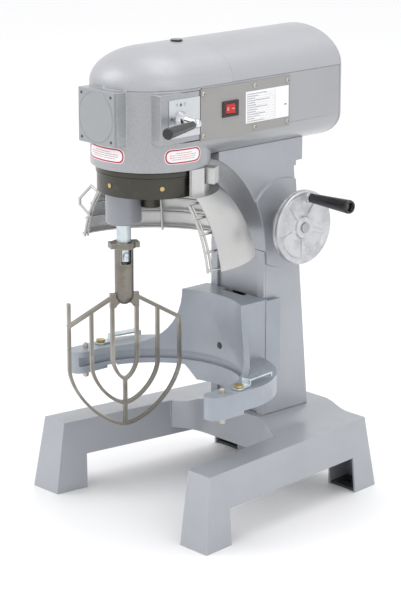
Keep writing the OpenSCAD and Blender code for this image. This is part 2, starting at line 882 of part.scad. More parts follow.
module beater() {
    color("#8f8a80") beater_frame() difference() {
        union() {
            translate([0, 3, 0]) rotate([90, 0, 0]) linear_extrude(6) beater_blades();
            rotate_extrude() polygon(concat([[0, 376], [0, 290.25]],
                arc_points(12.75, 12.75, -80, 0, 8, [0, 303]), [[12.75, 376]]));
            translate([0, 0, 368.5]) {
                cylinder(r = 16, h = 7.5);
                translate([-20, -8, 0]) cube([40, 16, 7.5]);
            }
        }
        translate([0, 0, 345]) cylinder(r = beater_shaft_r + 0.25, h = 40);
        translate([-7, -20, 347]) cube([14, 40, 20]);
    }
}

// ---- bowl carriage and lift ----

module carriage_front() {
    polygon(concat([[-60, body_top], [60, body_top]],
        arc_points(58, body_top - arm_z, 180, 270, 12, [118, body_top]),
        [[118, 170], [57, 170], [40, body_bottom], [-40, body_bottom], [-57, 170], [-118, 170]],
        [for (q = arc_points(58, body_top - arm_z, 270, 180, 12, [118, body_top])) [-q[0], q[1]]]));
}

// Outer outline of the yoke: straight arms, then one wide curve into the body
module yoke_outline() {
    r = yoke_r + yoke_w - yoke_cx;
    polygon(concat([[yoke_r + yoke_w, 0]], arc_points(r, r, 0, 90, 16, [yoke_cx, yoke_cy]),
        arc_points(r, r, 90, 180, 16, [-yoke_cx, yoke_cy]), [[-yoke_r - yoke_w, 0]]));
}

module bowl_carriage() {
    back_y = column_y - gap;
    color("#a9b0ba") difference() {
        union() {
            translate([0, axis_y, arm_z - 26]) linear_extrude(26) yoke_outline();
            both() {
                box(yoke_r, yoke_r + yoke_w, axis_y - 12, axis_y + 26, arm_z - arm_h, arm_z);
                translate([yoke_r + yoke_w / 2, axis_y - 12, arm_z - arm_h])
                    cylinder(r = yoke_w / 2, h = arm_h);
                box(column_hw + 2.7, column_hw + 8, back_y - 2, column_y + 25, arm_z - 26, body_top - 2);
            }
            intersection() {
                union() {
                    translate([0, axis_y, body_bottom - 10]) rotate_extrude(angle = 180, $fn = 120)
                        translate([yoke_r, 0]) square([8, 150]);
                    box(-60, 60, axis_y + 60, back_y, body_bottom - 1, body_top + 1);
                }
                along_head(axis_y, column_y + 1) carriage_front();
            }
        }
        translate([0, axis_y, 100]) cylinder(r = yoke_r, h = 250, $fn = 120);
        translate([0, axis_y, arm_z - 21]) cylinder(r = yoke_r + 6, h = 13, $fn = 120);
        box(-44, 44, axis_y + 134, column_y + 1, body_bottom + 10, body_top - 12);
        box(-22, 22, column_y - 9, column_y + 1, body_top - 20, body_top + 2);
        box(-column_hw - gap, column_hw + gap, back_y, column_y + 40, 100, 300);
        along_y(0, axis_y + 100, 207) cylinder(r = 5, h = 40);
        both() {
            translate([pin_x, axis_y, 150]) cylinder(r = 4.2, h = 60);
            translate([latch_x, latch_y, arm_z - 14]) cylinder(r = 3, h = 20);
        }
    }
}

module bowl_pins() {
    color("#d0d0ce") both() translate([pin_x, axis_y, arm_z]) rotate_extrude() polygon(concat(
        [[0, -42], [2.2, -42], [4.2, -40.5], [4.2, 0], [3.5, 0]],
        arc_points(3.5, 3.3, 0, 90, 6, [0, 4.6])));
}

module carriage_gibs() {
    color("#b08d4c") both() box(column_hw + gap, column_hw + 2.5, column_y + 2, column_y + 22, 182, 258);
}

module lift_nut() {
    color("#b08d4c") difference() {
        union() {
            box(-12, 12, axis_y + 134, screw_y - 10, nut_z, nut_z + nut_h);
            translate([0, screw_y, nut_z]) cylinder(r = 17, h = nut_h);
        }
        translate([0, screw_y, nut_z - 1]) cylinder(r = screw_r + run, h = nut_h + 2);
    }
}

module latch(side) {
    color(zinc) translate([side * latch_x, latch_y, arm_z]) rotate([0, 0, side * latch_toe_in]) difference() {
        union() {
            translate([0, 0, gap]) cylinder(r = 8.5, h = 2.5);
            translate([-7, 0, gap]) cube([14, 18, 2.5]);
            translate([-7, 15.5, gap]) cube([14, 2.5, 10.5]);
            translate([-7, 15.5, 8.3]) cube([14, latch_len - 15.5, 2.5]);
            translate([-7, latch_len - 2.5, 4]) cube([14, 2.5, 5]);
        }
        translate([0, 0, -1]) cylinder(r = 4 + run, h = 6);
    }
}

module latch_left() {
    latch(-1);
}

module latch_right() {
    latch(1);
}

module latch_screws() {
    color("#8c7a4e") both() translate([latch_x, latch_y, arm_z]) {
        translate([0, 0, -14]) cylinder(r = 3, h = 15);
        cylinder(r = 4, h = 3.2);
        translate([0, 0, 3.2]) cylinder(r = 6.5, h = 3);
    }
}

module lead_screw() {
    color(steel) translate([0, screw_y, 0]) {
        translate([0, 0, top_z + 1]) cylinder(r = screw_r, h = wheel_z - mitre_r - top_z - 4);
        translate([0, 0, wheel_z - mitre_r - 4]) cylinder(r = 6, h = 12);
    }
}

module lift_bearings() {
    color("#b08d4c") {
        translate([0, screw_y, top_z]) bearing(20, screw_r + run, 14);
        difference() {
            box(column_wall - column_hw, column_hw - column_wall, column_y + 10, screw_y + 22, 338, 346);
            translate([0, screw_y, 330]) cylinder(r = screw_r + run, h = 20);
        }
        along_x(column_hw - 18, screw_y, wheel_z) bearing(11, wheel_shaft_r + run, 28);
    }
}

module screw_mitre() {
    color(steel) translate([0, screw_y, wheel_z - mitre_r])
        bevel_gear_body(screw_teeth, screw_m, 7, mitre_r, 6);
}

module wheel_mitre() {
    color(steel) translate([mitre_r, screw_y, wheel_z]) rotate([0, -90, 0]) rotate([0, 0, 180 / screw_teeth])
        bevel_gear_body(screw_teeth, screw_m, 7, mitre_r, 5);
}

module wheel_shaft() {
    color(steel) {
        along_x(11, screw_y, wheel_z) cylinder(r = 5, h = 8);
        along_x(mitre_r, screw_y, wheel_z) cylinder(r = wheel_shaft_r, h = wheel_x + wheel_w + 2 - mitre_r);
    }
}

module handwheel() {
    color("#bfc1c2") difference() {
        union() {
            along_x(wheel_x, screw_y, wheel_z) rotate_extrude($fn = 96) polygon([[0, 1], [wheel_r - 9, 1],
                [wheel_r - 4, 0], [wheel_r - 1, 1], [wheel_r, 3], [wheel_r - 1.2, 6], [wheel_r, 9],
                [wheel_r - 1, 10.8], [wheel_r - 3, wheel_w - 0.5], [wheel_r - 7, wheel_w - 1],
                [wheel_r - 10, 8], [20, 7], [16, 8], [14.5, wheel_w], [0, wheel_w]]);
            along_x(wheel_x - 12, screw_y, wheel_z) cylinder(r = 13, h = 14);
            for (i = [0 : 4]) along_x(wheel_x + 5, screw_y, wheel_z) rotate([0, 0, i * 72])
                translate([12, -2.5, 0]) cube([31, 5, 4]);
            along_x(wheel_x + 1.5, crank_y, crank_z) cylinder(r = 7.5, h = wheel_w - 1.5);
        }
        along_x(wheel_x - 20, screw_y, wheel_z) cylinder(r = wheel_shaft_r, h = 50);
        along_x(wheel_x - 10, crank_y, crank_z) cylinder(r = 4, h = 30);
    }
}

module crank_spindle() {
    color("#d4d6d8") {
        along_x(wheel_x + 1, crank_y, crank_z) cylinder(r = 4, h = grip_len - 6 + wheel_w + 2);
        along_x(wheel_x + wheel_w, crank_y, crank_z) bearing(7, 4, 2.7);
    }
}

module crank_grip() {
    color("#17181a") along_x(grip_x, crank_y, crank_z) difference() {
        union() {
            cylinder(r1 = 6.5, r2 = 9.6, h = grip_len - 3);
            translate([0, 0, grip_len - 3]) cylinder(r1 = 9.6, r2 = 8.6, h = 3);
        }
        translate([0, 0, -1]) cylinder(r = 4 + run, h = grip_len);
        translate([0, 0, grip_len - 8]) cylinder(r = 6, h = 10);
    }
}

base_frame();
foot_plates();
column();
guide_ways();
back_cover();
gear_housing();
hub_cover();
hub_cover_screws();
front_top_cover();
motor_cover();
oil_plug();
rear_cap();
cover_screws();
cable_gland();
control_panel();
panel_screws();
switch_bezel();
switch_rocker();
speed_plate();
speed_lever();
speed_grip();
labels();
motor_stator();
motor_cradle();
motor_rotor();
cooling_fan();
motor_pinion();
gear_plate();
bearing_pedestal();
cross_shaft();
cross_gear();
bevel_pinion();
drive_bearings();
bevel_gear();
main_shaft();
ring_gear();
ring_screws();
planet_hub();
beater_shaft();
planet_pinion();
splash_shield();
wire_guard();
guard_carrier();
guard_switch();
beater();
bowl_carriage();
bowl_pins();
carriage_gibs();
lift_nut();
latch_left();
latch_right();
latch_screws();
lead_screw();
lift_bearings();
screw_mitre();
wheel_mitre();
handwheel();
wheel_shaft();
crank_spindle();
crank_grip();
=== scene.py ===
"""Looks for a ten litre planetary bench mixer: materials, small surface pieces, light and camera.

Everything is in metres in the CAD frame: +Z up, bowl side towards -Y, handwheel towards +X.
"""

import math
import random

import bpy
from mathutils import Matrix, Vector


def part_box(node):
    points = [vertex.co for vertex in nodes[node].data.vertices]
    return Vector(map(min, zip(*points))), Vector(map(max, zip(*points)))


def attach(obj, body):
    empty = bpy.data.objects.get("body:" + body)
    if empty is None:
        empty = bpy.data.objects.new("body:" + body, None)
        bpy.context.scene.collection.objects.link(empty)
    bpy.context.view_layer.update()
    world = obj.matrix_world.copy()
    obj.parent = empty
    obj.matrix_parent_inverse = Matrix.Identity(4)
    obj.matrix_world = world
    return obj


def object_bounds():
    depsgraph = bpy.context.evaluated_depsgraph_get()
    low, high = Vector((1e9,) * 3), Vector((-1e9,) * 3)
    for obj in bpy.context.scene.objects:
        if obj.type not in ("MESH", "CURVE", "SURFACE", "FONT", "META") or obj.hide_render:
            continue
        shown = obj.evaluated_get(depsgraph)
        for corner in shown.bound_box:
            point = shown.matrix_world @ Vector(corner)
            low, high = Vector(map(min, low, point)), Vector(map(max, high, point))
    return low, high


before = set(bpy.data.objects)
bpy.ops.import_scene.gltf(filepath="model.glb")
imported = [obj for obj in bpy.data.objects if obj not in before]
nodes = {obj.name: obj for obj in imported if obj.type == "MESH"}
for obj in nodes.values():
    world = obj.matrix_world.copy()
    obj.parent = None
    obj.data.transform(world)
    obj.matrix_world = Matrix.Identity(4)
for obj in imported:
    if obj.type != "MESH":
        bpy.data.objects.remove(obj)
cad_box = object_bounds()

MM = 0.001
# The planetary axis, and the radius of the nose, which is also the flat sides' distance from the middle.
AXIS_Y = -96 * MM
HEAD_R = 79.4 * MM
PANEL_T = 1.5 * MM
PAN_SCREW_RISE = 2.17 * MM
PAPER_T = 0.3 * MM
INK_LIFT = 0.04 * MM


# ---- node materials ----

def shaded(base, factor, lift=0.0):
    """The base colour made lighter or darker."""
    return tuple(min(1, c * factor + lift) for c in base)


class Look:
    """A node material around one Principled shader, with short calls for the nodes it uses."""

    def __init__(self, name, base, roughness, metallic=0.0, coat=0.0, coat_roughness=0.1):
        self.mat = bpy.data.materials.new(name)
        self.mat.use_nodes = True
        self.tree = self.mat.node_tree
        self.tree.nodes.clear()
        out = self.node("ShaderNodeOutputMaterial")
        self.bsdf = self.node("ShaderNodeBsdfPrincipled")
        self.wire(self.bsdf.outputs[0], out.inputs["Surface"])
        self.bsdf.inputs["Base Color"].default_value = (*base, 1)
        self.bsdf.inputs["Roughness"].default_value = roughness
        self.bsdf.inputs["Metallic"].default_value = metallic
        self.bsdf.inputs["Coat Weight"].default_value = coat
        self.bsdf.inputs["Coat Roughness"].default_value = coat_roughness
        self.place = self.node("ShaderNodeTexCoord").outputs["Object"]
        self.height = None
        self.colour = None

    def node(self, kind, **settings):
        made = self.tree.nodes.new(kind)
        for key, value in settings.items():
            setattr(made, key, value)
        return made

    def wire(self, a, b):
        self.tree.links.new(a, b)

    def stretched(self, scale):
        mapping = self.node("ShaderNodeMapping")
        mapping.inputs["Scale"].default_value = scale
        self.wire(self.place, mapping.inputs["Vector"])
        return mapping.outputs[0]

    def noise(self, scale, detail=3.0, rough=0.5, stretch=None):
        made = self.node("ShaderNodeTexNoise")
        made.inputs["Scale"].default_value = scale
        made.inputs["Detail"].default_value = detail
        made.inputs["Roughness"].default_value = rough
        self.wire(self.stretched(stretch) if stretch else self.place, made.inputs["Vector"])
        return made.outputs["Fac"]

    def ramp(self, source, low, high, to_low=0.0, to_high=1.0):
        made = self.node("ShaderNodeMapRange", interpolation_type="SMOOTHSTEP")
        made.inputs["From Min"].default_value = low
        made.inputs["From Max"].default_value = high
        made.inputs["To Min"].default_value = to_low
        made.inputs["To Max"].default_value = to_high
        self.wire(source, made.inputs["Value"])
        return made.outputs[0]

    def times(self, a, b):
        made = self.node("ShaderNodeMath", operation="MULTIPLY")
        self.wire(a, made.inputs[0])
        self.wire(b, made.inputs[1])
        return made.outputs[0]

    def along(self, axis, low, high):
        """0 below low and 1 above high, along one axis of the object."""
        split = self.node("ShaderNodeSeparateXYZ")
        self.wire(self.place, split.inputs[0])
        return self.ramp(split.outputs[axis], low, high)

    def edges(self, radius):
        """1 on outer edges, 0 on flat faces; it places the painted edge highlights on the enamels and the
        bright ground or turned edges of bare metal.
        """
        bevel = self.node("ShaderNodeBevel", samples=4)
        bevel.inputs["Radius"].default_value = radius
        flat = self.node("ShaderNodeNewGeometry")
        dot = self.node("ShaderNodeVectorMath", operation="DOT_PRODUCT")
        self.wire(bevel.outputs[0], dot.inputs[0])
        self.wire(flat.outputs["Normal"], dot.inputs[1])
        return self.ramp(dot.outputs["Value"], 0.99, 0.8)

    def tint(self, fac, colour):
        """Mixes a colour over the one so far where fac is high."""
        mix = self.node("ShaderNodeMix", data_type="RGBA")
        self.wire(fac, mix.inputs["Factor"])
        if self.colour is None:
            mix.inputs[6].default_value = self.bsdf.inputs["Base Color"].default_value
        else:
            self.wire(self.colour, mix.inputs[6])
        mix.inputs[7].default_value = (*colour, 1)
        self.colour = mix.outputs[2]
        self.wire(self.colour, self.bsdf.inputs["Base Color"])

    def edge_highlights(self, radius, patch_scale, least, most, colour):
        """Paints a highlight along the outer edges, stronger in some patches than in others."""
        patches = self.edges(radius), self.ramp(self.noise(patch_scale), 0.3, 0.7, least, most)
        self.tint(self.times(*patches), colour)

    def rough(self, source, low, high):
        self.wire(self.ramp(source, 0.25, 0.75, low, high), self.bsdf.inputs["Roughness"])

    def bump(self, source, distance, strength=1.0):
        made = self.node("ShaderNodeBump")
        made.inputs["Distance"].default_value = distance
        made.inputs["Strength"].default_value = strength
        self.wire(source, made.inputs["Height"])
        if self.height is not None:
            self.wire(self.height, made.inputs["Normal"])
        self.height = made.outputs[0]
        self.wire(self.height, self.bsdf.inputs["Normal"])


def silver_enamel(name, base, peel, roughness):
    """Metallic grey enamel over sheet steel: fine flake, orange peel of a depth in mm, painted highlights
    along the edges.
    """
    look = Look(name, base, roughness, metallic=0.4, coat=0.25, coat_roughness=0.22)
    cloud = look.noise(14.0, 2.0)
    look.tint(look.ramp(cloud, 0.35, 0.7, 0.0, 0.4), shaded(base, 0.88))
    speck = look.noise(900.0, 1.0)
    look.tint(look.ramp(speck, 0.5, 0.75, 0.0, 0.5), shaded(base, 1.2))
    # Painted highlight along the outer edges.
    look.edge_highlights(1.2 * MM, 60.0, 0.25, 0.8, shaded(base, 1.22))
    look.rough(look.noise(45.0, 2.0), roughness - 0.04, roughness + 0.06)
    look.bump(look.noise(170.0, 1.0), peel * MM, 0.5)
    return look


def hammer_enamel():
    """Silver hammer finish, coarse round the nose and fading out along the flat sides."""
    base = (0.385, 0.395, 0.41)
    look = Look("hammer_enamel", base, 0.34, metallic=0.45, coat=0.4, coat_roughness=0.1)
    nose = look.along(1, 10 * MM, -60 * MM)
    look.tint(look.ramp(look.noise(11.0, 4.0), 0.35, 0.7, 0.0, 0.5), (0.34, 0.35, 0.365))
    grain = look.noise(520.0, 3.0, 0.65)
    pits = look.times(look.ramp(grain, 0.45, 0.62), look.ramp(nose, 0.0, 1.0, 0.05, 0.5))
    look.tint(pits, (0.29, 0.3, 0.31))
    # Painted highlight along the outer edges.
    look.edge_highlights(1.2 * MM, 60.0, 0.2, 0.7, (0.52, 0.53, 0.55))
    look.bump(look.times(grain, look.ramp(nose, 0.0, 1.0, 0.06, 1.0)), 0.25 * MM)
    look.bump(look.noise(220.0, 2.0), 0.02 * MM)
    return look


def cast_enamel(name, base):
    """Enamel over a sand casting: soft lumps and pits under the paint."""
    look = Look(name, base, 0.38, metallic=0.3, coat=0.3, coat_roughness=0.15)
    look.tint(look.ramp(look.noise(16.0, 4.0), 0.35, 0.7, 0.0, 0.6), shaded(base, 0.88))
    look.tint(look.ramp(look.noise(900.0, 1.0), 0.58, 0.78, 0.0, 0.5), shaded(base, 1.2))
    # Painted highlight along the outer edges.
    look.edge_highlights(1.5 * MM, 70.0, 0.2, 0.9, shaded(base, 1.3))
    look.rough(look.noise(45.0), 0.32, 0.46)
    look.bump(look.noise(85.0, 4.0), 0.45 * MM)
    look.bump(look.noise(420.0, 2.0), 0.06 * MM)
    return look


def dark_oiled_steel(name):
    """Machined steel band, black with oil, with lighter smears where the film is wiped."""
    look = Look(name, (0.06, 0.058, 0.048), 0.3, metallic=0.85, coat=0.3, coat_roughness=0.2)
    look.tint(look.ramp(look.noise(22.0, 5.0), 0.58, 0.75, 0.0, 0.6), (0.2, 0.195, 0.175))
    look.tint(look.ramp(look.noise(420.0, 3.0), 0.6, 0.75, 0.0, 0.6), (0.05, 0.045, 0.04))
    look.rough(look.noise(40.0, 4.0), 0.29, 0.5)
    look.bump(look.noise(700.0, 2.0, stretch=(0.15, 0.15, 3.0)), 0.03 * MM)
    return look


def carrier_steel():
    """The same oiled steel on the guard's ring, and bright wire on the handle beside it."""
    look = dark_oiled_steel("carrier_steel")
    look.tint(look.along(0, -88 * MM, -96 * MM), (0.5, 0.495, 0.48))
    return look


def stainless(name, base, grain=(1.0, 1.0, 14.0), roughness=0.26):
    """Satin stainless with a brushed grain and faint fingermarks."""
    look = Look(name, base, roughness, metallic=1.0)
    brush = look.noise(260.0, 3.0, 0.6, stretch=grain)
    look.tint(look.ramp(brush, 0.4, 0.7, 0.0, 0.5), shaded(base, 0.8))
    look.tint(look.ramp(look.noise(14.0, 4.0), 0.5, 0.75, 0.0, 0.35), shaded(base, 0.78))
    look.rough(look.noise(24.0, 4.0), roughness - 0.06, roughness + 0.12)
    look.bump(brush, 0.02 * MM)
    return look


def tarnished_beater():
    """Cast and ground beater metal, warm grey, with scale left in the corners."""
    base = (0.22, 0.206, 0.18)
    look = Look("beater_metal", base, 0.3, metallic=0.95)
    look.tint(look.ramp(look.noise(55.0, 5.0, 0.6), 0.48, 0.7, 0.0, 0.8), (0.17, 0.158, 0.135))
    look.tint(look.ramp(look.noise(18.0, 3.0), 0.5, 0.7, 0.0, 0.5), (0.45, 0.435, 0.4))
    look.tint(look.edges(0.8 * MM), (0.58, 0.56, 0.52))
    look.rough(look.noise(70.0, 4.0), 0.29, 0.38)
    look.bump(look.noise(160.0, 4.0), 0.16 * MM)
    look.bump(look.noise(900.0, 2.0), 0.03 * MM)
    return look


def machined_steel(name, base, roughness):
    """Turned or milled steel with faint stains."""
    look = Look(name, base, roughness, metallic=1.0)
    look.tint(look.ramp(look.noise(30.0, 4.0), 0.45, 0.75, 0.0, 0.6), shaded(base, 0.75))
    look.rough(look.noise(90.0, 3.0), roughness - 0.06, roughness + 0.12)
    look.bump(look.noise(1200.0, 2.0), 0.01 * MM)
    return look


def zinc_plate():
    """Bright zinc with its faint blue and straw bloom."""
    look = Look("zinc_plate", (0.62, 0.68, 0.7), 0.24, metallic=1.0)
    look.tint(look.ramp(look.noise(70.0, 4.0), 0.48, 0.68, 0.0, 0.7), (0.42, 0.52, 0.57))
    look.tint(look.ramp(look.noise(38.0, 3.0), 0.55, 0.75, 0.0, 0.6), (0.72, 0.71, 0.6))
    look.rough(look.noise(120.0, 4.0), 0.29, 0.42)
    look.bump(look.noise(800.0, 2.0), 0.02 * MM)
    return look


def brass():
    """Brass dulled to brown in places."""
    look = Look("brass", (0.56, 0.43, 0.2), 0.3, metallic=1.0)
    look.tint(look.ramp(look.noise(120.0, 4.0), 0.45, 0.7, 0.0, 0.8), (0.3, 0.25, 0.16))
    look.rough(look.noise(90.0), 0.29, 0.45)
    look.bump(look.noise(900.0, 2.0), 0.02 * MM)
    return look


def cast_aluminium():
    """Sand-cast handwheel, dull and blotchy inside, with its rim turned bright."""
    look = Look("cast_aluminium", (0.6, 0.605, 0.62), 0.4, metallic=0.8)
    look.tint(look.ramp(look.noise(45.0, 5.0, 0.6), 0.42, 0.68, 0.0, 0.8), (0.44, 0.445, 0.46))
    look.tint(look.ramp(look.noise(300.0, 2.0), 0.6, 0.75, 0.0, 0.5), (0.76, 0.77, 0.78))
    look.tint(look.edges(1 * MM), (0.8, 0.8, 0.82))
    look.rough(look.noise(60.0, 4.0), 0.3, 0.52)
    look.bump(look.noise(110.0, 4.0), 0.4 * MM)
    look.bump(look.noise(700.0, 2.0), 0.04 * MM)
    return look


def moulded(name, base, roughness, grain=0.03):
    """Moulded plastic with a fine skin, of a grain depth in mm, and light scuffs."""
    look = Look(name, base, roughness, coat=0.25, coat_roughness=0.2)
    look.tint(look.ramp(look.noise(60.0, 5.0), 0.55, 0.75, 0.0, 0.6), shaded(base, 1.5, 0.012))
    look.rough(look.noise(110.0, 4.0), roughness - 0.05, roughness + 0.05)
    look.bump(look.noise(1100.0, 2.0), grain * MM)
    return look


def printed_panel():
    """Warm grey screen-printed panel with a fine matt tooth."""
    look = Look("printed_panel", (0.31, 0.305, 0.297), 0.42, metallic=0.15, coat=0.1, coat_roughness=0.3)
    look.tint(look.ramp(look.noise(2200.0, 1.0), 0.45, 0.7, 0.0, 0.5), (0.35, 0.345, 0.337))
    look.tint(look.ramp(look.noise(16.0, 4.0), 0.4, 0.75, 0.0, 0.5), (0.275, 0.27, 0.265))
    look.rough(look.noise(50.0), 0.36, 0.5)
    look.bump(look.noise(1500.0, 2.0), 0.015 * MM)
    return look


def paper_film():
    """White label film."""
    look = Look("label_film", (0.84, 0.84, 0.86), 0.3, coat=0.3, coat_roughness=0.15)
    look.tint(look.ramp(look.noise(40.0, 4.0), 0.45, 0.75, 0.0, 0.4), (0.77, 0.775, 0.8))
    look.bump(look.noise(300.0, 2.0), 0.02 * MM)
    return look


def ink(name, base):
    """Matt printing ink, thin in places."""
    look = Look(name, base, 0.45)
    look.tint(look.ramp(look.noise(900.0, 2.0), 0.5, 0.75, 0.0, 0.5), shaded(base, 1.6, 0.03))
    look.bump(look.noise(1500.0, 1.0), 0.01 * MM)
    return look


def motor_enamel():
    """Dark blue motor paint."""
    look = Look("motor_enamel", (0.05, 0.07, 0.09), 0.45, metallic=0.1, coat=0.2)
    look.tint(look.ramp(look.noise(40.0, 4.0), 0.5, 0.75, 0.0, 0.7), (0.09, 0.115, 0.14))
    look.bump(look.noise(300.0, 3.0), 0.15 * MM)
    return look


def seamless_floor():
    """Plain pale studio floor."""
    look = Look("seamless_floor", (0.93, 0.93, 0.94), 0.55)
    look.tint(look.ramp(look.noise(2.0, 3.0), 0.3, 0.8, 0.0, 0.3), (0.91, 0.91, 0.925))
    look.bump(look.noise(60.0, 3.0), 0.05 * MM)
    return look


BASE_GREY = (0.385, 0.40, 0.43)
COVER_GREY = (0.42, 0.43, 0.455)
LOOKS = {
    "base": silver_enamel("base_enamel", BASE_GREY, 0.08, 0.35),
    "cover": silver_enamel("cover_enamel", COVER_GREY, 0.08, 0.46),
    "hammer": hammer_enamel(),
    "plate_cover": silver_enamel("hub_plate_enamel", (0.33, 0.345, 0.355), 0.08, 0.4),
    "carriage": cast_enamel("carriage_enamel", (0.335, 0.365, 0.41)),
    "planet": cast_enamel("planet_enamel", (0.27, 0.28, 0.305)),
    "dark_steel": dark_oiled_steel("dark_oiled_steel"),
    "carrier": carrier_steel(),
    "shield": stainless("shield_steel", (0.63, 0.63, 0.625), roughness=0.38),
    "wire": stainless("guard_wire", (0.55, 0.545, 0.53), roughness=0.36),
    "beater": tarnished_beater(),
    "gear": machined_steel("gear_steel", (0.45, 0.45, 0.45), 0.36),
    # Near-black steel on the foot plates: painted shade for the dark inside of the legs.
    "foot_painted_shade": machined_steel("foot_painted_shade", (0.09, 0.1, 0.095), 0.4),
    "screws": machined_steel("bright_screws", (0.5, 0.47, 0.42), 0.36),
    "chrome": machined_steel("lever_chrome", (0.72, 0.73, 0.75), 0.14),
    "zinc": zinc_plate(),
    "brass": brass(),
    "aluminium": cast_aluminium(),
    "black": moulded("black_plastic", (0.012, 0.012, 0.014), 0.2),
    # Near-black screw plastic, also used as painted shade in the panel screws' cross recesses.
    "black_screw_and_recess_shade": moulded("black_screws_and_recess_shade", (0.06, 0.06, 0.065), 0.4),
    "red": moulded("red_rocker", (0.5, 0.012, 0.01), 0.36, 0.01),
    "fan": moulded("fan_plastic", (0.1, 0.11, 0.13), 0.5),
    "panel": printed_panel(),
    "dial": stainless("dial_plate", (0.66, 0.69, 0.72), (1.0, 14.0, 1.0), 0.32),
    "film": paper_film(),
    "motor": motor_enamel(),
    "red_ink": ink("red_ink", (0.42, 0.01, 0.025)),
    "grey_ink": ink("grey_ink", (0.1, 0.1, 0.11)),
    "white_ink": ink("white_ink", (0.8, 0.78, 0.75)),
}

FINISHES = {
    "base": ["base_frame", "column", "guide_ways", "back_cover"],
    "cover": ["front_top_cover", "motor_cover", "rear_cap", "motor_cradle", "gear_plate", "bearing_pedestal"],
    "hammer": ["gear_housing"],
    "plate_cover": ["hub_cover"],
    "carriage": ["bowl_carriage"],
    "planet": ["planet_hub"],
    "dark_steel": ["ring_gear", "main_shaft"],
    "carrier": ["guard_carrier"],
    # The foot plates take the near-black painted shade.
    "foot_painted_shade": ["foot_plates"],
    "shield": ["splash_shield", "guard_switch"],
    "wire": ["wire_guard"],
    "beater": ["beater"],
    "gear": ["motor_rotor", "motor_pinion", "cross_shaft", "cross_gear", "bevel_pinion", "bevel_gear",
             "planet_pinion", "drive_bearings", "lead_screw", "screw_mitre", "wheel_mitre", "wheel_shaft"],
    "screws": ["cover_screws", "panel_screws", "bowl_pins"],
    "black_screw_and_recess_shade": ["hub_cover_screws"],
    "chrome": ["speed_lever", "crank_spindle"],
    "zinc": ["latch_left", "latch_right", "beater_shaft"],
    "brass": ["ring_screws", "carriage_gibs", "lift_nut", "latch_screws", "lift_bearings"],
    "aluminium": ["handwheel"],
    "black": ["speed_grip", "crank_grip", "oil_plug", "cable_gland", "switch_bezel"],
    "red": ["switch_rocker"],
    "panel": ["control_panel"],
    "dial": ["speed_plate"],
    "film": ["labels"],
    "motor": ["motor_stator"],
    "fan": ["cooling_fan"],
}

for look_name, members in FINISHES.items():
    for member in members:
        node = nodes[member]
        node.data.materials.clear()
        node.data.materials.append(LOOKS[look_name].mat)


# ---- rounded edges on the CAD pieces ----

# Widths in mm.
BEVELS = {
    "base_frame": 1.5, "column": 1.4, "gear_housing": 1.6, "hub_cover": 0.8, "front_top_cover": 0.7,
    "motor_cover": 0.7, "rear_cap": 1.2, "control_panel": 0.4, "switch_bezel": 0.5, "switch_rocker": 0.4,
    "speed_plate": 0.3, "bowl_carriage": 1.2, "latch_left": 0.5, "latch_right": 0.5, "beater": 0.6,
    "planet_hub": 1.0, "speed_grip": 0.6, "crank_grip": 0.6, "oil_plug": 0.8, "guide_ways": 0.6,
    "back_cover": 0.5, "guard_switch": 1.0, "handwheel": 0.6, "bowl_pins": 0.5, "beater_shaft": 0.6,
    "ring_gear": 0.4, "cable_gland": 0.6,
}
# Merging these into whole faces leaves faces that shade black, and a free bevel makes their corners overlap.
CLAMPED = ("base_frame", "bowl_carriage", "front_top_cover", "motor_cover", "beater")


def round_edges(node, width):
    """Merges the mesh into whole faces where it can, rounds its sharp edges and smooths the shading."""
    weld = node.modifiers.new("weld", "WELD")
    weld.merge_threshold = 0.002 * MM
    if node.name not in CLAMPED:
        flat = node.modifiers.new("flat", "DECIMATE")
        flat.decimate_type = "DISSOLVE"
        flat.angle_limit = math.radians(0.4)
    bevel = node.modifiers.new("bevel", "BEVEL")
    bevel.width = width
    bevel.segments = 3
    bevel.limit_method = "ANGLE"
    bevel.angle_limit = math.radians(32)
    bevel.use_clamp_overlap = node.name in CLAMPED
    shade = node.modifiers.new("shade", "WEIGHTED_NORMAL")
    shade.keep_sharp = False


for member, width in BEVELS.items():
    round_edges(nodes[member], width * MM)


# ---- small surface pieces ----

def piece(name, verts, faces, look, body, smooth=False):
    """A small mesh that rides on a body and takes its finish from a slot."""
    mesh = bpy.data.meshes.new(name)
    mesh.from_pydata([tuple(v) for v in verts], [], faces)
    mesh.update()
    for polygon in mesh.polygons:
        polygon.use_smooth = smooth
    mesh.materials.append(LOOKS[look].mat)
    made = bpy.data.objects.new(name, mesh)
    bpy.context.scene.collection.objects.link(made)
    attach(made, body)
    return made


class Shapes:
    """Collects flat patches in (u, v), each a thin slab, and lays them on a surface."""

    def __init__(self, place):
        self.place = place
        self.verts = []
        self.faces = []

    def patch(self, outline, thick=0.04 * MM):
        """Closed convex slab over the outline."""
        n = len(outline)
        k = len(self.verts)
        self.verts += [self.place(u, v, 0.0) for u, v in outline]
        self.verts += [self.place(u, v, thick) for u, v in outline]
        self.faces.append(list(range(k + n, k + 2 * n)))
        self.faces.append(list(range(k + n - 1, k - 1, -1)))
        for i in range(n):
            j = (i + 1) % n
            self.faces.append([k + i, k + j, k + n + j, k + n + i])

    def rectangle(self, u0, u1, v0, v1, thick=0.04 * MM):
        self.patch([(u0, v0), (u1, v0), (u1, v1), (u0, v1)], thick)

    def bar(self, u0, u1, v0, v1, step=4 * MM):
        """Rectangle cut into short lengths, so that it can follow a curve."""
        count = max(1, round((u1 - u0) / step))
        for i in range(count):
            a = u0 + (u1 - u0) * i / count
            b = u0 + (u1 - u0) * (i + 1) / count
            self.rectangle(a, b, v0, v1)

    def band(self, outer, inner):
        """Closed ring between two outlines with as many points each."""
        n = len(outer)
        for i in range(n):
            j = (i + 1) % n
            self.patch([outer[i], outer[j], inner[j], inner[i]])


